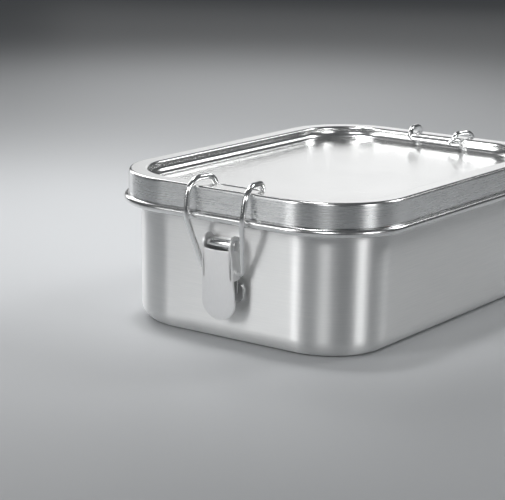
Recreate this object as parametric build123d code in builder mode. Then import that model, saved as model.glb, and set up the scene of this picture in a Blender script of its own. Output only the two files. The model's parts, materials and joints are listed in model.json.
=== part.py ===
from build123d import *
from math import cos, radians, sin, tan
import os

os.makedirs("parts", exist_ok=True)

# A steel lunch box: a drawn tray, a drawn lid with a silicone seal, and a wire toggle latch on each
# short side. Millimetres, +Z up, origin at the middle of the underside. The long side runs along Y,
# and the front latch is on the -Y side.

# Overall
box_width = 125.0  # lid skirt, along X
box_length = 175.0  # lid skirt, along Y
box_height = 62.4  # floor to the lid's flange
corner_radius = 33.0  # plan radius of the lid skirt
sheet = 0.7  # drawn steel sheet of tray and lid

# Lid
skirt_height = 9.8
flange_width = 7.8  # skirt face to recess wall
recess_depth = 5.2
lid_edge_radius = 1.2
edge_reach = 0.01  # how far from its height an edge may be and still be picked
recess_fillet = 3.5

# Tray
wall_inset = 5.0  # tray wall inside the skirt face, at the ledge
wall_draft = 1.0  # degrees
bottom_radius = 7.0
bead_diameter = 3.4  # rolled rim
bead_overhang = 1.8  # rim outside the skirt face
bead_slot = 0.6  # where the rolled edge stops short of closing
rim_gap = 0.1  # skirt edge above the bead

# Seal
seal_foot_height = 3.2
seal_stem_width = 2.4
seal_gap = 0.05  # between seal and ledge
seal_side_gap = 0.35  # between seal foot and bead

# Latch
wire = 2.2  # bail wire diameter
lever_sheet = 0.9
lever_tilt = 5.0  # degrees from upright, lower end nearer the wall
lever_top_width = 13.6
lever_end_width = 15.7
lever_top_drop = 1.2  # plate's top edge under the pin axis
lever_top_sag = 0.6
lever_reach = 30.2  # pin axis to the lever's lower tip
ear_radius = 3.7
ear_foot_radius = 2.6
ear_foot_corner = 1.0
ear_foot_drop = 0.5  # ear's lower edge under the round at the bail pivot
pin_diameter = 2.2
pin_head_diameter = 4.2
pin_head_height = 0.75
pin_under_bead = 10.0  # lever pin under the rim bead
running_gap = 0.05  # radial, pin and wire in their holes
ear_wall_gap = 0.35  # ear to tray wall
pivot_drop = 11.3  # bail pivot under the lever pin
over_centre = 1.45  # bail pivot nearer the wall than the lever pin
bracket_sheet = 0.9
bracket_side_gap = 0.3  # neck inside the ears
bracket_foot_width = 16.4
bracket_foot_height = 7.5
bracket_foot_gap = 1.2  # under the ears
bracket_corner = 2.5

# Bail
bail_play = 3.65  # crossbar to recess wall
bail_lift = 1.45  # arch above the flange
bail_bead_gap = 1.45  # leg outside the bead
bail_skirt_gap = 1.15  # arch corner outside the skirt
bail_hook_drop = 4.25  # crossbar under the arch
bail_side_gap = 0.4  # leg beside the lever
bail_knee_half = 13.3  # half spacings, from the bead up
bail_top_half = 13.7
bail_inner_half = 11.7
bail_bar_half = 10.9
bail_end_show = 0.6  # wire past the ear
bail_lean = 2.0  # inner limb leans towards the middle of the lid
foot_bend = 2.0
knee_bend = 12.0
arch_bend = 7.3
hook_bend = 4.0
bar_bend = 2.0

# Worked out from the sizes above
half_length = box_length / 2
skirt_bottom = box_height - skirt_height
flange_under = box_height - sheet
panel_top = box_height - recess_depth
panel_under = panel_top - sheet
bead_radius = bead_diameter / 2
bead_height = skirt_bottom - rim_gap - bead_radius
bead_line_offset = bead_overhang - bead_radius
ledge_top = bead_height + sheet / 2
ledge_under = ledge_top - sheet
draft_run = tan(radians(wall_draft))


def outline(inset, mode=Mode.ADD):
    """A rounded rectangle parallel to the skirt face, inset from it."""
    width = box_width - 2 * inset
    length = box_length - 2 * inset
    return RectangleRounded(width, length, corner_radius - inset, mode=mode)


def wall_face(height):
    """Distance of the tray's short wall from the middle of the box."""
    return half_length - wall_inset - (ledge_top - height) * draft_run


def tilted_plane(distance, height, degrees):
    """Plane facing the front, its lower side leaning towards the box."""
    angle = radians(degrees)
    return Plane(origin=(0, -distance, height), x_dir=(1, 0, 0), z_dir=(0, -cos(angle), -sin(angle)))


# Tray: drawn wall and floor, a ledge at the rim, and the rim rolled into a bead
with BuildPart() as tray_cavity:
    with BuildSketch(Plane.XY.offset(ledge_top)):
        outline(wall_inset + sheet)
    extrude(amount=-(ledge_top - sheet), taper=wall_draft)
    fillet(tray_cavity.edges().group_by(Axis.Z)[0], bottom_radius - sheet)

bead_line = Pos(0, 0, bead_height) * outline(-bead_line_offset).wire()

with BuildPart() as base_tray:
    with BuildSketch(Plane.XY.offset(ledge_top)):
        outline(wall_inset)
    extrude(amount=-ledge_top, taper=wall_draft)
    fillet(base_tray.edges().group_by(Axis.Z)[0], bottom_radius)
    with BuildSketch(Plane.XY.offset(ledge_under)):
        outline(bead_radius - sheet / 2 - bead_line_offset)
    extrude(amount=sheet)
    add(tray_cavity.part, mode=Mode.SUBTRACT)
    with BuildSketch(Plane(origin=bead_line @ 0, z_dir=bead_line % 0, x_dir=(0, 0, 1))):
        Circle(bead_radius)
        Circle(bead_radius - sheet, mode=Mode.SUBTRACT)
        with Locations((-bead_radius, 0)):
            Rectangle(bead_radius, bead_slot, mode=Mode.SUBTRACT)
    sweep(path=bead_line)
base_tray.part.label = "base_tray"

# Lid: skirt, flange, recess wall and panel of one drawn sheet
with BuildPart() as lid_pan:
    with BuildSketch(Plane.XY.offset(skirt_bottom)):
        outline(0)
    extrude(amount=skirt_height)
    with BuildSketch(Plane.XY.offset(panel_top)):
        outline(flange_width)
    extrude(amount=recess_depth, mode=Mode.SUBTRACT)
    with BuildSketch(Plane.XY.offset(skirt_bottom)):
        outline(sheet)
    extrude(amount=panel_under - skirt_bottom, mode=Mode.SUBTRACT)
    with BuildSketch(Plane.XY.offset(panel_under)):
        outline(sheet)
        outline(flange_width - sheet, Mode.SUBTRACT)
    extrude(amount=flange_under - panel_under, mode=Mode.SUBTRACT)
    fillet(lid_pan.edges().filter_by_position(Axis.Z, box_height - edge_reach, box_height + edge_reach), lid_edge_radius)
    fillet(lid_pan.edges().filter_by_position(Axis.Z, panel_top - edge_reach, panel_top + edge_reach), recess_fillet)
    fillet(lid_pan.edges().filter_by_position(Axis.Z, panel_under - edge_reach, panel_under + edge_reach), recess_fillet + sheet)
lid_pan.part.label = "lid_pan"

# Seal: a stem held in the lid's channel and a foot that rests on the ledge
channel_middle = flange_width / 2
foot_outer = 2 * bead_radius - bead_overhang + seal_side_gap
foot_inner = wall_inset + sheet
with BuildPart() as lid_seal:
    with BuildSketch(Plane.XY.offset(ledge_top + seal_gap)):
        outline(foot_outer)
        outline(foot_inner, Mode.SUBTRACT)
    extrude(amount=seal_foot_height)
    with BuildSketch(Plane.XY.offset(ledge_top + seal_gap + seal_foot_height)):
        outline(channel_middle - seal_stem_width / 2)
        outline(channel_middle + seal_stem_width / 2, Mode.SUBTRACT)
    extrude(amount=flange_under - ledge_top - seal_gap - seal_foot_height)
lid_seal.part.label = "lid_seal"

# Latch axes, for the front latch
pin_height = bead_height - pin_under_bead
pin_distance = wall_face(pin_height) + ear_wall_gap + ear_radius
pivot_distance = pin_distance - over_centre
pivot_height = pin_height - pivot_drop
ear_outer = lever_top_width / 2
ear_inner = ear_outer - lever_sheet
neck_half = ear_inner - bracket_side_gap
pin_hole = pin_diameter + 2 * running_gap
wire_hole = wire + 2 * running_gap

# The pivot as seen along the lever: how far in front of the pin axis, and how far down
tilt = radians(lever_tilt)
pivot_front = -over_centre * cos(tilt) + pivot_drop * sin(tilt)
pivot_down = over_centre * sin(tilt) + pivot_drop * cos(tilt)
lever_plane = tilted_plane(pin_distance, pin_height, lever_tilt)
side_plane = Plane(origin=(0, -pin_distance, pin_height), x_dir=lever_plane.z_dir, z_dir=(1, 0, 0))
pivot_plane = Plane(origin=(0, -pivot_distance, pivot_height), x_dir=(0, 0, 1), z_dir=(1, 0, 0))
pin_plane = Plane(origin=(0, -pin_distance, pin_height), x_dir=(0, 0, 1), z_dir=(1, 0, 0))

# Bracket: a plate on the wall, its neck bent out and curled round the pin
ear_bottom = pivot_height - ear_foot_radius - ear_foot_drop
foot_top = ear_bottom - bracket_foot_gap
foot_bottom = foot_top - bracket_foot_height
wall_plane = tilted_plane(wall_face(foot_top), foot_top, wall_draft)
curl_radius = pin_diameter / 2 + running_gap + bracket_sheet
neck_top = pin_height + curl_radius
with BuildPart() as bracket:
    with BuildSketch(wall_plane):
        with Locations((0, -bracket_foot_height / 2)):
            RectangleRounded(bracket_foot_width, bracket_foot_height, bracket_corner)
        with Locations((0, -bracket_corner)):
            Rectangle(2 * neck_half, neck_top - foot_top + bracket_corner, align=(Align.CENTER, Align.MIN))
    extrude(amount=bracket_sheet)
    with BuildSketch(Plane.XY.offset(neck_top - bracket_sheet)):
        with Locations((0, -wall_face(neck_top) - bracket_sheet / 4)):
            Rectangle(2 * neck_half, pin_distance - wall_face(neck_top) - bracket_sheet / 4,
                      align=(Align.CENTER, Align.MAX))
    extrude(amount=bracket_sheet)
    with BuildSketch(pin_plane.offset(-neck_half)):
        Circle(curl_radius)
    extrude(amount=2 * neck_half)
    with BuildSketch(pin_plane.offset(-neck_half)):
        Circle(pin_hole / 2)
    extrude(amount=2 * neck_half, mode=Mode.SUBTRACT)

# Lever: front plate with a round end, and two ears folded back from it
end_half = lever_end_width / 2
end_down = lever_reach - end_half
with BuildPart() as lever:
    with BuildSketch(lever_plane.offset(ear_radius - lever_sheet)):
        with BuildLine():
            Line((ear_outer, -lever_top_drop), (end_half, -end_down))
            ThreePointArc((end_half, -end_down), (0, -lever_reach), (-end_half, -end_down))
            Line((-end_half, -end_down), (-ear_outer, -lever_top_drop))
            ThreePointArc(
                (-ear_outer, -lever_top_drop),
                (0, -lever_top_drop - lever_top_sag),
                (ear_outer, -lever_top_drop),
            )
        make_face()
    extrude(amount=lever_sheet)
    for side in (-ear_outer, ear_inner):
        with BuildSketch(side_plane.offset(side)):
            Circle(ear_radius)
            with Locations((pivot_front, pivot_down)):
                Circle(ear_foot_radius)
            with Locations((ear_radius - ear_foot_corner, pivot_down + ear_foot_radius - ear_foot_corner)):
                Circle(ear_foot_corner)
            make_hull()
            Circle(pin_diameter / 2, mode=Mode.SUBTRACT)
            with Locations((pivot_front, pivot_down)):
                Circle(wire_hole / 2, mode=Mode.SUBTRACT)
        extrude(amount=lever_sheet)

# Pin: riveted through both ears
head_plane_height = ear_outer + pin_head_height
with BuildPart() as lever_pin:
    with BuildSketch(pin_plane.offset(-head_plane_height)):
        Circle(pin_diameter / 2)
    extrude(amount=2 * head_plane_height)
    for side in (-head_plane_height, ear_outer):
        with BuildSketch(pin_plane.offset(side)):
            Circle(pin_head_diameter / 2)
        extrude(amount=pin_head_height)
    outer_rims = lever_pin.edges().group_by(Axis.X)
    fillet(outer_rims[0] + outer_rims[-1], pin_head_height * 0.8)

# Bail: one wire from ear to ear, up outside the bead, over the flange and across the recess
knee_distance = half_length + bead_overhang + bail_bead_gap + wire / 2
arch_distance = half_length + bail_skirt_gap + wire / 2
arch_height = box_height + bail_lift + wire / 2
bar_distance = half_length - flange_width - bail_play - wire / 2
bar_height = arch_height - bail_hook_drop
foot_half = end_half + bail_side_gap + wire / 2
half_route = [
    (ear_inner - bail_end_show, -pivot_distance, pivot_height),
    (foot_half, -pivot_distance, pivot_height),
    (bail_knee_half, -knee_distance, bead_height),
    (bail_top_half, -arch_distance, arch_height),
    (bail_inner_half, -bar_distance - bail_lean, arch_height),
    (bail_bar_half, -bar_distance, bar_height),
]
route = half_route + [(-x, y, z) for x, y, z in reversed(half_route)]
half_bends = [foot_bend, knee_bend, arch_bend, hook_bend, bar_bend]
with BuildPart() as bail:
    with BuildLine() as bail_line:
        FilletPolyline(*route, radius=half_bends + half_bends[::-1])
    with BuildSketch(Plane(origin=bail_line.line @ 0, z_dir=bail_line.line % 0)):
        Circle(wire / 2)
    sweep()

# The rear latch is the front one turned half round
for kind, piece in (("bracket", bracket), ("lever", lever), ("lever_pin", lever_pin), ("bail", bail)):
    for place, turn in (("front", 0), ("rear", 180)):
        turned = piece.part.rotate(Axis.Z, turn)
        turned.label = f"{place}_{kind}"
        export_step(turned, f"parts/{turned.label}.step")

for piece in (base_tray, lid_pan, lid_seal):
    export_step(piece.part, f"parts/{piece.part.label}.step")
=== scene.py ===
import bmesh
import bpy
import json
import math
from mathutils import Matrix, Vector


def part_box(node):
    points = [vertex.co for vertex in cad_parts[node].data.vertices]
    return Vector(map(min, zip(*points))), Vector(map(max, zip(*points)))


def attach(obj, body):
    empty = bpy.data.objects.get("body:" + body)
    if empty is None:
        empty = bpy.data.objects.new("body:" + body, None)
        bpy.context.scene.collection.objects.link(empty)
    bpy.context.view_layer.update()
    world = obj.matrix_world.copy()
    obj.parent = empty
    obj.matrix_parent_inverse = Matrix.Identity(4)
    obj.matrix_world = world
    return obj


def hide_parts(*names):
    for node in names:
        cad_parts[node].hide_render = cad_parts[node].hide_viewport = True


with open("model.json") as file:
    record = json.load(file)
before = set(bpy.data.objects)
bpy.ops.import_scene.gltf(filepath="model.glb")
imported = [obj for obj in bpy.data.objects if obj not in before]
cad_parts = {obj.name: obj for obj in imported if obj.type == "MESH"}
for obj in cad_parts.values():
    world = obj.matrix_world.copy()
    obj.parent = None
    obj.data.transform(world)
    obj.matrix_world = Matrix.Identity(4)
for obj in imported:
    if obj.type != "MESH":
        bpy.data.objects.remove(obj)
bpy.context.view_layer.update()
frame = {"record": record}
mm = 0.001

# sizes read from the frame
lidLow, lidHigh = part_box("lid_pan")
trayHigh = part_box("base_tray")[1]
joints = {joint["name"]: joint for joint in frame["record"]["behaviour"]["joints"]}
halfX = lidHigh[0]
halfY = lidHigh[1]
lidTop = lidHigh[2]
skirtBottom = lidLow[2]
beadTop = trayHigh[2]
pinY = -joints["front_lever_pivot"]["pos_m"][1]
pinZ = joints["front_lever_pivot"]["pos_m"][2]
pivotY = -joints["front_bail_pivot"]["pos_m"][1]
pivotZ = joints["front_bail_pivot"]["pos_m"][2]

plan = {
    "cornerRadius": 33.0 * mm,
    "cornerSteps": 30,
    "straightSteps": 6,
    "support": 1.0 * mm,  # short faces beside each corner keep the flats flat
}


def planPoints():
    # the skirt outline: a point on the corner's centre line, the way out from it, and the run so far
    centreX = halfX - plan["cornerRadius"]
    centreY = halfY - plan["cornerRadius"]
    points = []
    for corner in range(4):
        signX = (1, -1, -1, 1)[corner]
        signY = (1, 1, -1, -1)[corner]
        centre = Vector((signX * centreX, signY * centreY))
        start = corner * math.pi / 2
        for step in range(plan["cornerSteps"] + 1):
            angle = start + step * math.pi / 2 / plan["cornerSteps"]
            points.append((centre.copy(), Vector((math.cos(angle), math.sin(angle)))))
        along = Vector((-math.sin(start + math.pi / 2), math.cos(start + math.pi / 2)))
        run = 2 * (centreX if corner % 2 == 0 else centreY)
        out = points[-1][1]
        shares = [plan["support"] / run]
        shares += [step / plan["straightSteps"] for step in range(1, plan["straightSteps"])]
        shares += [1 - plan["support"] / run]
        for share in shares:
            points.append((centre + along * run * share, out.copy()))
    return points


outlineWay = planPoints()


def ring(inset, height, shrink=1.0):
    reach = plan["cornerRadius"] - inset
    return [Vector(((c + o * reach)[0] * shrink, (c + o * reach)[1] * shrink, height)) for c, o in outlineWay]


def roundedSection(corners, closed, support=0.35 * mm):
    # corners are (inset, height, radius); each becomes an arc with a short face on both sides of it
    section = []
    count = len(corners)
    for index, (x, y, radius) in enumerate(corners):
        here = Vector((x, y))
        if not closed and index in (0, count - 1) or radius <= 0:
            section.append(here)
            continue
        before = Vector(corners[index - 1][:2]) - here
        after = Vector(corners[(index + 1) % count][:2]) - here
        opening = before.angle(after)
        cut = radius / math.tan(opening / 2)
        first = here + before.normalized() * cut
        last = here + after.normalized() * cut
        middle = here + (before.normalized() + after.normalized()).normalized() * radius / math.sin(opening / 2)
        if before.length > cut + 2 * support:
            section.append(first + before.normalized() * support)
        turn = math.pi - opening
        steps = max(4, round(turn / math.radians(9)))
        spoke = first - middle
        sense = 1 if spoke.cross(last - middle) > 0 else -1
        for step in range(steps + 1):
            angle = sense * turn * step / steps
            turned = Vector((
                spoke.x * math.cos(angle) - spoke.y * math.sin(angle),
                spoke.x * math.sin(angle) + spoke.y * math.cos(angle),
            ))
            section.append(middle + turned)
        if after.length > cut + 2 * support:
            section.append(last + after.normalized() * support)
    return section


def ringPiece(name, section, closed, shrinks=(), materials=()):
    # the section is carried round the plan; its open ends are closed by flat panels
    mesh = bpy.data.meshes.new(name)
    build = bmesh.new()
    rows = []
    if not closed:
        for shrink in reversed(shrinks):
            rows.append(ring(section[0].x, section[0].y, shrink))
    rows += [ring(point.x, point.y) for point in section]
    if not closed:
        for shrink in shrinks:
            rows.append(ring(section[-1].x, section[-1].y, shrink))
    grid = [[build.verts.new(co) for co in row] for row in rows]
    uv = build.loops.layers.uv.new("sheet")
    around = [0.0]
    reference = ring(0, 0)
    for index in range(len(reference)):
        around.append(around[-1] + (reference[(index + 1) % len(reference)] - reference[index]).length)
    down = [0.0]
    for index in range(1, len(rows)):
        down.append(down[-1] + (rows[index][0] - rows[index - 1][0]).length)
    size = len(reference)
    rowPairs = [(index, index + 1) for index in range(len(rows) - 1)]
    if closed:
        rowPairs.append((len(rows) - 1, 0))
        down.append(down[-1] + (rows[0][0] - rows[-1][0]).length)
    panelRows = len(shrinks)
    for low, high in rowPairs:
        flat = not closed and (low < panelRows or high >= len(rows) - panelRows)
        for index in range(size):
            following = (index + 1) % size
            quad = (grid[low][index], grid[low][following], grid[high][following], grid[high][index])
            face = build.faces.new(quad)
            face.smooth = True
            ends = ((index, low), (index + 1, low), (index + 1, low + 1), (index, low + 1))
            for loop, (a, d) in zip(face.loops, ends):
                loop[uv].uv = (loop.vert.co.y, loop.vert.co.x) if flat else (around[a], down[d])
    if not closed:
        for row in (grid[0], grid[-1]):
            face = build.faces.new(row)
            face.smooth = True
            for loop in face.loops:
                loop[uv].uv = (loop.vert.co.y, loop.vert.co.x)
    bmesh.ops.recalc_face_normals(build, faces=build.faces)
    build.to_mesh(mesh)
    build.free()
    piece = bpy.data.objects.new(name, mesh)
    bpy.context.collection.objects.link(piece)
    for material in materials:
        mesh.materials.append(material)
    return piece


# materials
def linear(hexColour):
    # sRGB hex to linear
    channels = [int(hexColour[index:index + 2], 16) / 255 for index in (1, 3, 5)]
    return tuple(c / 12.92 if c <= 0.04045 else ((c + 0.055) / 1.055) ** 2.4 for c in channels) + (1.0,)


def addNode(tree, kind, settings=None, **inputs):
    # settings are the node's own; inputs are values, or (node, output name) to link from
    node = tree.nodes.new(kind)
    for key, value in (settings or {}).items():
        setattr(node, key, value)
    for key, value in inputs.items():
        socket = node.inputs[key.replace("_", " ")] if not key.startswith("i") else node.inputs[int(key[1:])]
        if isinstance(value, tuple) and len(value) == 2 and hasattr(value[0], "outputs"):
            tree.links.new(value[0].outputs[value[1]], socket)
        else:
            socket.default_value = value
    return node


def ramp(tree, source, stops):
    node = addNode(tree, "ShaderNodeValToRGB", None, i0=source)
    while len(node.color_ramp.elements) < len(stops):
        node.color_ramp.elements.new(0.5)
    for element, (position, colour) in zip(node.color_ramp.elements, stops):
        element.position = position
        element.color = colour
    return node


def steelMaterial(name, look):
    # stainless steel: what the grit left is a fine grain along the sheet, so highlights smear across it
    material = bpy.data.materials.new(name)
    material.use_nodes = True
    tree = material.node_tree
    tree.nodes.clear()
    if look["uv"]:
        place = addNode(tree, "ShaderNodeUVMap", {"uv_map": "sheet"})
        source = (place, "UV")
    else:
        place = addNode(tree, "ShaderNodeTexCoord")
        source = (place, "Object")
    # grain lines: long along the sheet, grainWidth across it
    across = 1 / look["grainWidth"]
    along = 1 / look["grainLength"]
    scale = (along, across, across) if look["uv"] else (across, across, along)
    grainPlace = addNode(tree, "ShaderNodeMapping", None, Vector=source, Scale=scale)
    grain = addNode(
        tree, "ShaderNodeTexNoise", None, Vector=(grainPlace, "Vector"), Scale=1.0, Detail=3.0, Roughness=0.6,
    )
    smudgePlace = addNode(tree, "ShaderNodeTexCoord")
    smudge = addNode(
        tree, "ShaderNodeTexNoise", None, Vector=(smudgePlace, "Object"),
        Scale=1 / look["smudgeSize"], Detail=2.0, Roughness=0.5,
    )
    wave = addNode(
        tree, "ShaderNodeTexNoise", None, Vector=(smudgePlace, "Object"),
        Scale=1 / look["waveSize"], Detail=0.0, Roughness=0.5,
    )
    colour = ramp(tree, (grain, "Fac"), ((0.25, linear(look["dark"])), (0.75, linear(look["light"]))))
    low = look["roughness"] - look["roughnessSpread"]
    high = look["roughness"] + look["roughnessSpread"]
    mixed = addNode(tree, "ShaderNodeMath", {"operation": "MULTIPLY_ADD"}, i0=(grain, "Fac"), i1=0.6, i2=0.0)
    smeared = addNode(
        tree, "ShaderNodeMath", {"operation": "MULTIPLY_ADD"}, i0=(smudge, "Fac"), i1=0.4, i2=(mixed, "Value"),
    )
    rough = addNode(
        tree, "ShaderNodeMapRange", None, Value=(smeared, "Value"),
        From_Min=0.3, From_Max=0.7, To_Min=low, To_Max=high,
    )
    waveBump = addNode(
        tree, "ShaderNodeBump", None, Height=(wave, "Fac"), Strength=1.0, Distance=look["waveHeight"],
    )
    grainBump = addNode(
        tree, "ShaderNodeBump", None, Height=(grain, "Fac"), Strength=1.0, Distance=look["grainDepth"],
        Normal=(waveBump, "Normal"),
    )
    shader = addNode(
        tree, "ShaderNodeBsdfPrincipled", None, Base_Color=(colour, "Color"), Metallic=1.0,
        Roughness=(rough, "Result"), Normal=(grainBump, "Normal"),
        Anisotropic=look["anisotropy"], Anisotropic_Rotation=0.25,
    )
    if look["uv"]:
        tangent = addNode(tree, "ShaderNodeTangent", {"direction_type": "UV_MAP", "uv_map": "sheet"})
        tree.links.new(tangent.outputs["Tangent"], shader.inputs["Tangent"])
    output = addNode(tree, "ShaderNodeOutputMaterial")
    tree.links.new(shader.outputs["BSDF"], output.inputs["Surface"])
    return material


steelLooks = {
    # drawn sheet, belt-brushed round the wall: soft highlights, smeared up and down
    "brushedTrayStainless": {
        "uv": True, "dark": "#e9eaea", "light": "#f3f3f2", "roughness": 0.40, "roughnessSpread": 0.04,
        "anisotropy": 0.9, "grainWidth": 0.35 * mm, "grainLength": 22 * mm, "grainDepth": 0.004 * mm,
        "smudgeSize": 25 * mm, "waveSize": 60 * mm, "waveHeight": 0.03 * mm,
    },
    # the lid's sheet, brushed a little coarser, so the lines on the skirt show
    "brushedLidStainless": {
        "uv": True, "dark": "#e2e3e4", "light": "#eff0f0", "roughness": 0.28, "roughnessSpread": 0.05,
        "anisotropy": 0.92, "grainWidth": 0.45 * mm, "grainLength": 18 * mm, "grainDepth": 0.006 * mm,
        "smudgeSize": 22 * mm, "waveSize": 55 * mm, "waveHeight": 0.02 * mm,
    },
    # the lid's top, bright-annealed sheet: clear reflections with a little bloom
    "polishedLidStainless": {
        "uv": False, "dark": "#e6e7e7", "light": "#f2f2f1", "roughness": 0.20, "roughnessSpread": 0.03,
        "anisotropy": 0.0, "grainWidth": 0.4 * mm, "grainLength": 12 * mm, "grainDepth": 0.0004 * mm,
        "smudgeSize": 24 * mm, "waveSize": 55 * mm, "waveHeight": 0.015 * mm,
    },
    # the rolled rim, buffed: one soft line of light along its crown
    "buffedRimStainless": {
        "uv": False, "dark": "#e2e3e3", "light": "#f0f0f0", "roughness": 0.21, "roughnessSpread": 0.03,
        "anisotropy": 0.0, "grainWidth": 0.5 * mm, "grainLength": 4 * mm, "grainDepth": 0.001 * mm,
        "smudgeSize": 10 * mm, "waveSize": 20 * mm, "waveHeight": 0.01 * mm,
    },
    # drawn wire, bright polished: sharp highlights along its length
    "polishedStainlessWire": {
        "uv": False, "dark": "#eeefef", "light": "#f8f8f8", "roughness": 0.18, "roughnessSpread": 0.03,
        "anisotropy": 0.0, "grainWidth": 0.5 * mm, "grainLength": 3 * mm, "grainDepth": 0.001 * mm,
        "smudgeSize": 6 * mm, "waveSize": 12 * mm, "waveHeight": 0.01 * mm,
    },
    # blanked and tumbled sheet: even satin, edges slightly bright
    "tumbledStainlessSheet": {
        "uv": False, "dark": "#f8f8f8", "light": "#fefefe", "roughness": 0.50, "roughnessSpread": 0.03,
        "anisotropy": 0.0, "grainWidth": 0.3 * mm, "grainLength": 4 * mm, "grainDepth": 0.002 * mm,
        "smudgeSize": 8 * mm, "waveSize": 20 * mm, "waveHeight": 0.01 * mm,
    },
    # pressed sheet straight from the tool, bright with a trace of drawing marks
    "pressedStainlessSheet": {
        "uv": False, "dark": "#dadbdc", "light": "#ebebeb", "roughness": 0.16, "roughnessSpread": 0.05,
        "anisotropy": 0.0, "grainWidth": 0.3 * mm, "grainLength": 3 * mm, "grainDepth": 0.002 * mm,
        "smudgeSize": 5 * mm, "waveSize": 10 * mm, "waveHeight": 0.01 * mm,
    },
}
steels = {name: steelMaterial(name, look) for name, look in steelLooks.items()}


def siliconeMaterial():
    # moulded translucent silicone: milky, soft sheen, a little dust
    look = {"body": "#e4e6e3", "dust": "#d4d6d2", "speck": 0.6 * mm, "skinDepth": 0.01 * mm}
    material = bpy.data.materials.new("mouldedSilicone")
    material.use_nodes = True
    tree = material.node_tree
    tree.nodes.clear()
    place = addNode(tree, "ShaderNodeTexCoord")
    speck = addNode(tree, "ShaderNodeTexNoise", None, Vector=(place, "Object"), Scale=1 / look["speck"], Detail=2.0)
    colour = ramp(tree, (speck, "Fac"), ((0.4, linear(look["body"])), (0.7, linear(look["dust"]))))
    bump = addNode(tree, "ShaderNodeBump", None, Height=(speck, "Fac"), Distance=look["skinDepth"])
    shader = addNode(
        tree, "ShaderNodeBsdfPrincipled", None, Base_Color=(colour, "Color"), Roughness=0.45,
        IOR=1.41, Normal=(bump, "Normal"), Subsurface_Weight=0.3, Subsurface_Scale=2 * mm,
    )
    output = addNode(tree, "ShaderNodeOutputMaterial")
    tree.links.new(shader.outputs["BSDF"], output.inputs["Surface"])
    return material


silicone = siliconeMaterial()
print("materials made", sorted(steels))

# tray: floor, wall, ledge and rolled rim from one section
tray = {
    "sheet": 0.7 * mm,
    "wallInset": 5.0 * mm,
    "draft": math.radians(1.0),
    "bottomRadius": 7.0 * mm,
    "beadRadius": 1.7 * mm,
    "panelInset": 26 * mm,
    "shrinks": (0.8, 0.5, 0.2, 0.03),
}


def makeTray():
    beadZ = beadTop - tray["beadRadius"]
    beadInset = tray["beadRadius"] - (trayHigh[0] - halfX)
    ledgeTop = beadZ + tray["sheet"] / 2
    ledgeUnder = ledgeTop - tray["sheet"]
    slope = math.tan(tray["draft"])
    inner = tray["wallInset"] + tray["sheet"]
    reach = math.sqrt(tray["beadRadius"] ** 2 - (tray["sheet"] / 2) ** 2)
    floorTop = tray["sheet"]
    corners = [
        (tray["panelInset"], floorTop, 0),
        (inner + (ledgeTop - floorTop) * slope, floorTop, tray["bottomRadius"] - tray["sheet"]),
        (inner, ledgeTop, 0.3 * mm),
        (beadInset + reach, ledgeTop, 0),
    ]
    section = roundedSection(corners, False)
    turn = math.asin(tray["sheet"] / 2 / tray["beadRadius"])
    steps = 40
    for step in range(1, steps):
        angle = turn + (2 * math.pi - 2 * turn) * step / steps
        rimOut = beadInset + tray["beadRadius"] * math.cos(angle)
        rimUp = beadZ + tray["beadRadius"] * math.sin(angle)
        section.append(Vector((rimOut, rimUp)))
    outside = [
        (beadInset + reach, ledgeUnder, 0),
        (tray["wallInset"] + (ledgeTop - ledgeUnder) * slope, ledgeUnder, 0.3 * mm),
        (tray["wallInset"] + ledgeTop * slope, 0.0, tray["bottomRadius"]),
        (tray["panelInset"], 0.0, 0),
    ]
    section += roundedSection(outside, False)
    materials = [steels["brushedTrayStainless"], steels["buffedRimStainless"]]
    piece = ringPiece("trayShell", section, False, tray["shrinks"], materials)
    # the rolled rim is buffed bright
    for face in piece.data.polygons:
        centre = face.center
        if centre.z > beadZ - tray["beadRadius"] * 1.02 and outwardOf(centre) > -beadInset - reach:
            face.material_index = 1
    return piece


def outwardOf(point):
    # how far a point stands outside the skirt face, measured square to the plan outline
    centreX = halfX - plan["cornerRadius"]
    centreY = halfY - plan["cornerRadius"]
    overX = abs(point[0]) - centreX
    overY = abs(point[1]) - centreY
    if overX > 0 and overY > 0:
        return math.hypot(overX, overY) - plan["cornerRadius"]
    return max(overX, overY) - plan["cornerRadius"]


trayShell = makeTray()
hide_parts("base_tray")
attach(trayShell, "base")
print("tray made", len(trayShell.data.polygons))

# lid: panel, recess wall, flange and skirt from one section
lid = {
    "sheet": 0.7 * mm,
    "flangeWidth": 7.8 * mm,
    "recessDepth": 5.2 * mm,
    "edgeRadius": 1.2 * mm,
    "recessFillet": 3.5 * mm,
    "panelInset": 26 * mm,
    "shrinks": (0.85, 0.6, 0.3, 0.03),
}


def makeLid():
    panelTop = lidTop - lid["recessDepth"]
    under = lidTop - lid["sheet"]
    corners = [
        (lid["panelInset"], panelTop, 0),
        (lid["flangeWidth"], panelTop, lid["recessFillet"]),
        (lid["flangeWidth"], lidTop, lid["edgeRadius"]),
        (0, lidTop, lid["edgeRadius"]),
        (0, skirtBottom, 0.2 * mm),
        (lid["sheet"], skirtBottom, 0.2 * mm),
        (lid["sheet"], under, 0.5 * mm),
        (lid["flangeWidth"] - lid["sheet"], under, 0.5 * mm),
        (lid["flangeWidth"] - lid["sheet"], panelTop - lid["sheet"], lid["recessFillet"] + lid["sheet"]),
        (lid["panelInset"], panelTop - lid["sheet"], 0),
    ]
    materials = [steels["polishedLidStainless"], steels["brushedLidStainless"]]
    piece = ringPiece("lidShell", roundedSection(corners, False), False, lid["shrinks"], materials)
    # only the skirt is brushed; the flange, recess and panel are bright
    for face in piece.data.polygons:
        if outwardOf(face.center) > -lid["sheet"] / 2 and face.center.z < lidTop - 0.6 * lid["edgeRadius"]:
            face.material_index = 1
    return piece


lidShell = makeLid()
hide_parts("lid_pan")
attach(lidShell, "lid")

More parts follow.
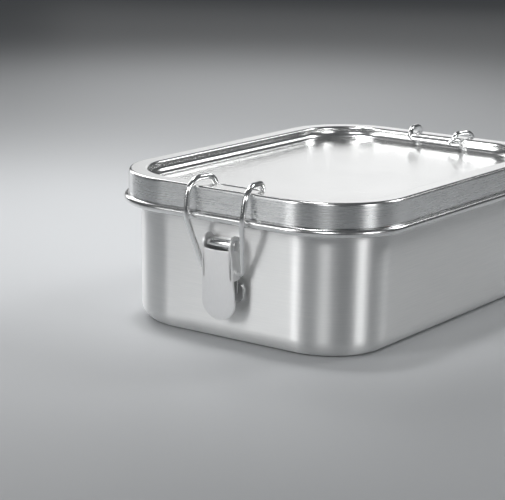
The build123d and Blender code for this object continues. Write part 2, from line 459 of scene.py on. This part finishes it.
# seal: a stem under the flange and a foot on the ledge
seal = {
    "footHeight": 3.2 * mm,
    "stemWidth": 2.4 * mm,
    "footOuter": 1.95 * mm,
    "footInner": 5.7 * mm,
    "softEdge": 0.5 * mm,
    "shoulderEdge": 0.2 * mm,
}


def makeSeal():
    low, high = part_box("lid_seal")
    middle = lid["flangeWidth"] / 2
    shoulder = low[2] + seal["footHeight"]
    half = seal["stemWidth"] / 2
    corners = [
        (seal["footOuter"], low[2], seal["softEdge"]),
        (seal["footOuter"], shoulder, seal["softEdge"]),
        (middle - half, shoulder, seal["softEdge"]),
        (middle - half, high[2], seal["softEdge"]),
        (middle + half, high[2], seal["softEdge"]),
        (middle + half, shoulder, seal["shoulderEdge"]),
        (seal["footInner"], shoulder, seal["shoulderEdge"]),
        (seal["footInner"], low[2], seal["softEdge"]),
    ]
    return ringPiece("siliconeSeal", roundedSection(corners, True, 0.2 * mm), True, (), [silicone])


sealRing = makeSeal()
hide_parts("lid_seal")
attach(sealRing, "lid")
print("lid and seal made")


# latch pieces are made for the front and turned half round for the rear
def finishPiece(name, build, materials, turn):
    bmesh.ops.remove_doubles(build, verts=build.verts, dist=1e-6)
    bmesh.ops.recalc_face_normals(build, faces=build.faces)
    mesh = bpy.data.meshes.new(name)
    build.to_mesh(mesh)
    build.free()
    mesh.transform(Matrix.Rotation(turn, 4, "Z"))
    for material in materials:
        mesh.materials.append(material)
    piece = bpy.data.objects.new(name, mesh)
    bpy.context.collection.objects.link(piece)
    return piece


def slab(build, outline, holes, thickness, place, softEdge):
    # a blanked plate: outline and round holes in its own plane, then its edges rounded
    flat = bmesh.new()
    for loop in [outline] + holes:
        verts = [flat.verts.new((x, y, 0)) for x, y in loop]
        for index, vert in enumerate(verts):
            flat.edges.new((vert, verts[(index + 1) % len(verts)]))
    if holes:
        bmesh.ops.triangle_fill(flat, use_beauty=True, use_dissolve=False, edges=flat.edges)
    else:
        flat.faces.new(flat.verts)
    raised = bmesh.ops.extrude_face_region(flat, geom=flat.faces[:])
    lifted = [part for part in raised["geom"] if isinstance(part, bmesh.types.BMVert)]
    bmesh.ops.translate(flat, verts=lifted, vec=(0, 0, thickness))
    bmesh.ops.recalc_face_normals(flat, faces=flat.faces)
    sharp = [e for e in flat.edges if len(e.link_faces) == 2 and e.calc_face_angle() > math.radians(60)]
    bmesh.ops.bevel(flat, geom=sharp, offset=softEdge, segments=3, profile=0.5, affect="EDGES", clamp_overlap=True)
    for face in flat.faces:
        face.smooth = True
    flat.transform(place)
    mesh = bpy.data.meshes.new("slab")
    flat.to_mesh(mesh)
    flat.free()
    build.from_mesh(mesh)
    bpy.data.meshes.remove(mesh)


def arc(centre, radius, start, end, steps):
    return [
        (centre[0] + radius * math.cos(math.radians(start + (end - start) * s / steps)),
         centre[1] + radius * math.sin(math.radians(start + (end - start) * s / steps)))
        for s in range(steps + 1)
    ]


def planeAt(origin, xDirection, zDirection):
    x = Vector(xDirection).normalized()
    z = Vector(zDirection).normalized()
    y = z.cross(x)
    return Matrix((
        (x.x, y.x, z.x, origin[0]), (x.y, y.y, z.y, origin[1]), (x.z, y.z, z.z, origin[2]), (0, 0, 0, 1),
    ))


def hull(points):
    points = sorted(set((round(x, 7), round(y, 7)) for x, y in points))
    halves = []
    for order in (points, points[::-1]):
        chain = []
        for p in order:
            while len(chain) > 1 and (
                (chain[-1][0] - chain[-2][0]) * (p[1] - chain[-2][1])
                - (chain[-1][1] - chain[-2][1]) * (p[0] - chain[-2][0])
            ) <= 0:
                chain.pop()
            chain.append(p)
        halves.append(chain[:-1])
    return halves[0] + halves[1]


lever = {
    "sheet": 0.9 * mm,
    "tilt": math.radians(5.0),
    "topWidth": 13.6 * mm,
    "endWidth": 15.7 * mm,
    "topDrop": 1.2 * mm,
    "topSag": 0.6 * mm,
    "reach": 30.2 * mm,
    "earRadius": 3.7 * mm,
    "earFootRadius": 2.6 * mm,
    "earFootCorner": 1.0 * mm,
    "pivotClearance": 0.05 * mm,
    "softEdge": 0.22 * mm,
}
pin = {
    "radius": 1.1 * mm,
    "headRadius": 2.1 * mm,
    "headHeight": 0.75 * mm,
    "headEdge": 0.1 * mm,  # straight edge under the dome
    "sides": 40,
}


def makeLever(name, turn):
    build = bmesh.new()
    tilt = lever["tilt"]
    front = (0, -math.cos(tilt), -math.sin(tilt))
    origin = Vector((0, -pinY, pinZ))
    back = lever["earRadius"] - lever["sheet"]
    endHalf = lever["endWidth"] / 2
    topHalf = lever["topWidth"] / 2
    endY = -(lever["reach"] - endHalf)
    sag = lever["topSag"]
    topRadius = (topHalf ** 2 + sag ** 2) / 2 / sag
    topTurn = math.degrees(math.asin(topHalf / topRadius))
    outline = arc((0, endY), endHalf, 180, 360, 40)
    topCentre = (0, -lever["topDrop"] - sag + topRadius)
    outline += arc(topCentre, topRadius, 270 + topTurn, 270 - topTurn, 16)
    place = planeAt(origin + Vector(front) * back, (1, 0, 0), front)
    slab(build, outline, [], lever["sheet"], place, lever["softEdge"])
    # ears, seen from the side: front along x, down along y
    reachFront = -(pinY - pivotY) * math.cos(tilt) + (pinZ - pivotZ) * math.sin(tilt)
    reachDown = (pinY - pivotY) * math.sin(tilt) + (pinZ - pivotZ) * math.cos(tilt)
    corner = lever["earFootCorner"]
    shape = arc((0, 0), lever["earRadius"], 0, 360, 48)
    shape += arc((reachFront, reachDown), lever["earFootRadius"], 0, 360, 48)
    shape += arc((lever["earRadius"] - corner, reachDown + lever["earFootRadius"] - corner), corner, 0, 360, 24)
    holes = [
        arc((0, 0), pin["radius"], 0, 345, 23),
        arc((reachFront, reachDown), pin["radius"] + lever["pivotClearance"], 0, 345, 23),
    ]
    for side in (-topHalf, topHalf - lever["sheet"]):
        place = planeAt(origin + Vector((side, 0, 0)), front, (1, 0, 0))
        slab(build, hull(shape), holes, lever["sheet"], place, lever["softEdge"])
    return finishPiece(name, build, [steels["tumbledStainlessSheet"]], turn)


def makePin(name, turn):
    # riveted pin: straight shank, domed heads against the ears
    build = bmesh.new()
    topHalf = lever["topWidth"] / 2
    dome = [(topHalf, pin["radius"]), (topHalf, pin["headRadius"] * 0.97)]
    for step in range(9):
        angle = math.pi / 2 * step / 8
        rise = pin["headEdge"] + (pin["headHeight"] - pin["headEdge"]) * math.sin(angle)
        dome.append((topHalf + rise, pin["headRadius"] * math.cos(angle)))
    profile = [(-x, r) for x, r in reversed(dome)] + dome
    sides = pin["sides"]
    rows = []
    for x, radius in profile:
        if radius < 1e-7:
            rows.append([build.verts.new((x, -pinY, pinZ))])
            continue
        rows.append([
            build.verts.new((x, -pinY + radius * math.cos(a), pinZ + radius * math.sin(a)))
            for a in (2 * math.pi * index / sides for index in range(sides))
        ])
    for first, second in zip(rows[:-1], rows[1:]):
        for index in range(sides):
            following = (index + 1) % sides
            corners = [
                first[index % len(first)], first[following % len(first)],
                second[following % len(second)], second[index % len(second)],
            ]
            unique = list(dict.fromkeys(corners))
            build.faces.new(unique).smooth = True
    return finishPiece(name, build, [steels["pressedStainlessSheet"]], turn)


bracket = {
    "sheet": 0.9 * mm,
    "footWidth": 16.4 * mm,
    "footHeight": 7.5 * mm,
    "footGap": 1.7 * mm,
    "footCorner": 2.5 * mm,
    "neckHalf": 5.6 * mm,
    "curlClearance": 0.05 * mm,
    "bend": 1.6 * mm,
    "softEdge": 0.15 * mm,
    "neckEdge": 0.09 * mm,
}


def makeBracket(name, turn):
    build = bmesh.new()
    slope = math.tan(tray["draft"])
    ledgeTop = beadTop - tray["beadRadius"] + tray["sheet"] / 2
    sheet = bracket["sheet"]

    def wallY(height):
        return halfY - tray["wallInset"] - (ledgeTop - height) * slope

    footTop = pivotZ - lever["earFootRadius"] - bracket["footGap"]
    footMiddle = footTop - bracket["footHeight"] / 2
    halfWidth = bracket["footWidth"] / 2
    halfHeight = bracket["footHeight"] / 2
    corner = bracket["footCorner"]
    outline = []
    for x, y, start in ((1, 1, 0), (-1, 1, 90), (-1, -1, 180), (1, -1, 270)):
        outline += arc((x * (halfWidth - corner), y * (halfHeight - corner)), corner, start, start + 90, 10)
    front = (0, -math.cos(tray["draft"]), -math.sin(tray["draft"]))
    place = planeAt((0, -wallY(footMiddle), footMiddle), (1, 0, 0), front)
    slab(build, outline, [], sheet, place, bracket["softEdge"])
    # neck and curl from the side: out from the wall along x, up along y, then drawn across the latch
    curl = pin["radius"] + bracket["curlClearance"] + sheet
    hole = curl - sheet
    wallTop = wallY(pinZ)
    away = pinY - wallTop
    bend = bracket["bend"]
    side = [(0, footTop - pinZ - halfHeight)]
    side += arc((bend, curl - bend), bend, 180, 90, 8)
    side += arc((away, 0), curl, 90, -160, 40)
    side += arc((away, 0), hole, -160, 90, 30)
    side += arc((bend, curl - bend), bend - sheet, 90, 180, 6)
    side += [(sheet, footTop - pinZ - halfHeight)]
    place = Matrix((
        (0, 0, 1, -bracket["neckHalf"]), (-1, 0, 0, -wallTop), (0, 1, 0, pinZ), (0, 0, 0, 1),
    ))
    slab(build, side, [], 2 * bracket["neckHalf"], place, bracket["neckEdge"])
    return finishPiece(name, build, [steels["pressedStainlessSheet"]], turn)


# bail: one wire that follows a bent path, made by a node tree
bail = {
    "wire": 2.2 * mm,
    "sides": 28,
    "bendSteps": 14,
    "beadGap": 1.45 * mm,
    "skirtGap": 1.15 * mm,
    "lift": 1.45 * mm,
    "hookDrop": 4.25 * mm,
    "play": 3.65 * mm,
    "lean": 2.0 * mm,
    "kneeHalf": 13.3 * mm,
    "topHalf": 13.7 * mm,
    "innerHalf": 11.7 * mm,
    "barHalf": 10.9 * mm,
    "sideGap": 0.4 * mm,
    "endShow": 0.6 * mm,
    "bends": (2.0 * mm, 12.0 * mm, 7.3 * mm, 4.0 * mm, 2.0 * mm),
}


def wireTree():
    tree = bpy.data.node_groups.new("bentWire", "GeometryNodeTree")
    tree.interface.new_socket("Path", in_out="INPUT", socket_type="NodeSocketGeometry")
    sockets = (
        ("Wire radius", "NodeSocketFloat"), ("Sides", "NodeSocketInt"),
        ("Bend steps", "NodeSocketInt"), ("Finish", "NodeSocketMaterial"),
    )
    for label, kind in sockets:
        tree.interface.new_socket(label, in_out="INPUT", socket_type=kind)
    tree.interface.new_socket("Wire", in_out="OUTPUT", socket_type="NodeSocketGeometry")
    given = addNode(tree, "NodeGroupInput")
    bendRadius = addNode(tree, "GeometryNodeInputRadius")
    # poly corners, so each bend has its own steps
    bent = addNode(
        tree, "GeometryNodeFilletCurve", {"mode": "POLY"}, Curve=(given, "Path"), Radius=(bendRadius, "Radius"),
    )
    tree.links.new(given.outputs["Bend steps"], bent.inputs["Count"])
    even = addNode(tree, "GeometryNodeSetCurveRadius", None, Curve=(bent, "Curve"), Radius=1.0)
    circle = addNode(
        tree, "GeometryNodeCurvePrimitiveCircle", None, Resolution=(given, "Sides"), Radius=(given, "Wire radius"),
    )
    solid = addNode(
        tree, "GeometryNodeCurveToMesh", None, Curve=(even, "Curve"), Profile_Curve=(circle, "Curve"), Fill_Caps=True,
    )
    smooth = addNode(tree, "GeometryNodeSetShadeSmooth", None, Geometry=(solid, "Mesh"), Shade_Smooth=True)
    real = addNode(tree, "GeometryNodeRealizeInstances", None, Geometry=(smooth, "Geometry"))
    finish = addNode(tree, "GeometryNodeSetMaterial", None, Geometry=(real, "Geometry"), Material=(given, "Finish"))
    result = addNode(tree, "NodeGroupOutput")
    tree.links.new(finish.outputs["Geometry"], result.inputs["Wire"])
    return tree


bentWire = wireTree()


def makeBail(name, turn):
    radius = bail["wire"] / 2
    beadZ = beadTop - tray["beadRadius"]
    kneeY = -(trayHigh[1] + bail["beadGap"] + radius)
    archY = -(halfY + bail["skirtGap"] + radius)
    archZ = lidTop + bail["lift"] + radius
    barY = -(halfY - lid["flangeWidth"] - bail["play"] - radius)
    footHalf = lever["endWidth"] / 2 + bail["sideGap"] + radius
    endHalf = lever["topWidth"] / 2 - lever["sheet"] - bail["endShow"]
    half = [
        (endHalf, -pivotY, pivotZ),
        (footHalf, -pivotY, pivotZ),
        (bail["kneeHalf"], kneeY, beadZ),
        (bail["topHalf"], archY, archZ),
        (bail["innerHalf"], barY - bail["lean"], archZ),
        (bail["barHalf"], barY, archZ - bail["hookDrop"]),
    ]
    route = half + [(-x, y, z) for x, y, z in reversed(half)]
    bends = (0,) + bail["bends"]
    bends += bends[::-1]
    curve = bpy.data.curves.new(name + "Path", "CURVE")
    curve.dimensions = "3D"
    spline = curve.splines.new("POLY")
    spline.points.add(len(route) - 1)
    for point, place, bend in zip(spline.points, route, bends):
        point.co = (*place, 1)
        point.radius = bend
    path = bpy.data.objects.new(name + "Path", curve)
    bpy.context.collection.objects.link(path)
    modifier = path.modifiers.new("bentWire", "NODES")
    modifier.node_group = bentWire
    values = {
        "Wire radius": radius, "Sides": bail["sides"], "Bend steps": bail["bendSteps"],
        "Finish": steels["polishedStainlessWire"],
    }
    for item in bentWire.interface.items_tree:
        if item.in_out == "INPUT" and item.name in values:
            modifier[item.identifier] = values[item.name]
    bpy.context.view_layer.update()
    evaluated = path.evaluated_get(bpy.context.evaluated_depsgraph_get())
    mesh = bpy.data.meshes.new_from_object(evaluated)
    mesh.name = name
    path.modifiers.remove(modifier)
    bpy.data.objects.remove(path)
    mesh.transform(Matrix.Rotation(turn, 4, "Z"))
    piece = bpy.data.objects.new(name, mesh)
    bpy.context.collection.objects.link(piece)
    return piece


for place, turn in (("front", 0.0), ("rear", math.pi)):
    made = (
        (makeBracket(place + "LatchBracket", turn), "bracket", "bracket_steel", "base"),
        (makeLever(place + "LatchLever", turn), "lever", "lever_steel", place + "_lever"),
        (makePin(place + "LatchPin", turn), "lever_pin", "pin_steel", place + "_lever"),
        (makeBail(place + "LatchBail", turn), "bail", "wire_steel", place + "_bail"),
    )
    for piece, kind, slotName, body in made:
        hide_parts(place + "_" + kind)
        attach(piece, body)
    print(place, "latch made", [(piece.name, len(piece.data.polygons)) for piece, *rest in made])

# floor, light and camera
studio = {
    "floorSize": 12.0,
    "floorColour": "#c2c4c6",
    "floorRoughness": 0.5,
    "room": 0.08,
    "gridGain": 30.2,  # makes a 36 degree grid count as one
    "aim": (-0.01, 0.03),
}
softboxes = (
    # name, heading, distance, centre height, aim height, width, height, spread, glow
    ("frontBox", -27, 1.3, 0.42, 0.03, 0.56, 0.50, 24, 0.36),
    ("frontHighBox", -28, 1.2, 0.85, 0.02, 0.50, 0.80, 24, 0.26),
    ("cornerBox", 25, 1.2, 0.85, 0.02, 0.90, 0.80, 24, 0.40),
    ("rightBox", 88, 1.3, 0.42, 0.03, 0.80, 0.50, 24, 0.40),
    ("rearRightBox", 150, 1.2, 0.85, 0.02, 0.80, 0.80, 24, 0.44),
    ("panelBox", -150, 1.6, 0.42, 0.06, 0.90, 0.60, 50, 0.036),
    ("leftBox", -98, 1.2, 0.85, 0.02, 0.50, 0.80, 36, 0.10),
    ("leftRearBox", -120, 1.2, 0.85, 0.02, 0.50, 0.80, 36, 0.20),
    ("leftLowBox", -108, 1.6, 0.42, 0.06, 0.40, 0.60, 50, 0.15),
)
pools = (
    # name, place, aim, size, spread in degrees, watts
    ("nearPool", (-0.30, 0.0, 1.2), (-0.17, 0.05, 0.0), 0.30, 30, 0.40),
    ("farPool", (-0.60, 0.75, 1.2), (-0.35, 0.50, 0.0), 0.25, 34, 0.25),
)


def makeFloor():
    # painted board: pale, nearly matt
    material = bpy.data.materials.new("paleStudioFloor")
    material.use_nodes = True
    shader = material.node_tree.nodes["Principled BSDF"]
    shader.inputs["Base Color"].default_value = linear(studio["floorColour"])
    shader.inputs["Roughness"].default_value = studio["floorRoughness"]
    half = studio["floorSize"] / 2
    mesh = bpy.data.meshes.new("studioFloor")
    mesh.from_pydata([(-half, -half, 0), (half, -half, 0), (half, half, 0), (-half, half, 0)], [], [(0, 1, 2, 3)])
    mesh.materials.append(material)
    floor = bpy.data.objects.new("studioFloor", mesh)
    bpy.context.collection.objects.link(floor)


def heading(degrees):
    # 0 is straight in front of the short side, 90 is off the right-hand long side
    return Vector((math.sin(math.radians(degrees)), -math.cos(math.radians(degrees)), 0))


def areaLight(name, place, aim, width, height, watts, spread=180):
    light = bpy.data.lights.new(name, "AREA")
    light.shape = "RECTANGLE"
    light.size = width
    light.size_y = height
    light.energy = watts
    light.spread = math.radians(spread)
    lamp = bpy.data.objects.new(name, light)
    bpy.context.collection.objects.link(lamp)
    lamp.location = place
    lamp.rotation_euler = (Vector(aim) - Vector(place)).to_track_quat("-Z", "Y").to_euler()


def makeStudio():
    makeFloor()
    for name, direction, distance, centreHeight, aimHeight, width, height, spread, glow in softboxes:
        place = heading(direction) * distance + Vector((0, 0, centreHeight))
        # a narrower grid throws less light in all for the same brightness straight ahead
        half = math.radians(spread) / 2
        grid = studio["gridGain"] * (math.tan(half) - half) / math.tan(half)
        watts = glow * grid * math.pi * width * height
        areaLight(name, place, (*studio["aim"], aimHeight), width, height, watts, spread)
    for name, place, aim, size, spread, watts in pools:
        areaLight(name, place, aim, size, size, watts, spread)
    world = bpy.data.worlds.new("greyRoom")
    world.use_nodes = True
    world.node_tree.nodes["Background"].inputs["Color"].default_value = (0.92, 0.96, 1.0, 1)
    world.node_tree.nodes["Background"].inputs["Strength"].default_value = studio["room"]
    bpy.context.scene.world = world
    bpy.context.scene.view_settings.view_transform = "Standard"


camera = {
    "azimuth": 34.9,
    "elevation": 13.11,
    "roll": 1.21,
    "distance": 723.8 * mm,
    "target": (-11.0 * mm, -49.6 * mm, 30.0 * mm),
    "lens": 126.52,
    "sensor": 36.0,
}


def makeCamera():
    data = bpy.data.cameras.new("camera")
    data.lens = camera["lens"]
    data.sensor_width = camera["sensor"]
    data.clip_start = 0.05
    data.clip_end = 50
    viewer = bpy.data.objects.new("camera", data)
    bpy.context.collection.objects.link(viewer)
    lift = math.radians(camera["elevation"])
    back = heading(camera["azimuth"]) * math.cos(lift) + Vector((0, 0, math.sin(lift)))
    right = Vector((0, 0, 1)).cross(back).normalized()
    up = back.cross(right)
    roll = math.radians(camera["roll"])
    x = right * math.cos(roll) + up * math.sin(roll)
    y = up * math.cos(roll) - right * math.sin(roll)
    spot = Vector(camera["target"]) + back * camera["distance"]
    viewer.matrix_world = Matrix((
        (x.x, y.x, back.x, spot.x), (x.y, y.y, back.y, spot.y), (x.z, y.z, back.z, spot.z), (0, 0, 0, 1),
    ))
    bpy.context.scene.camera = viewer


makeStudio()
makeCamera()
print("studio and camera made")
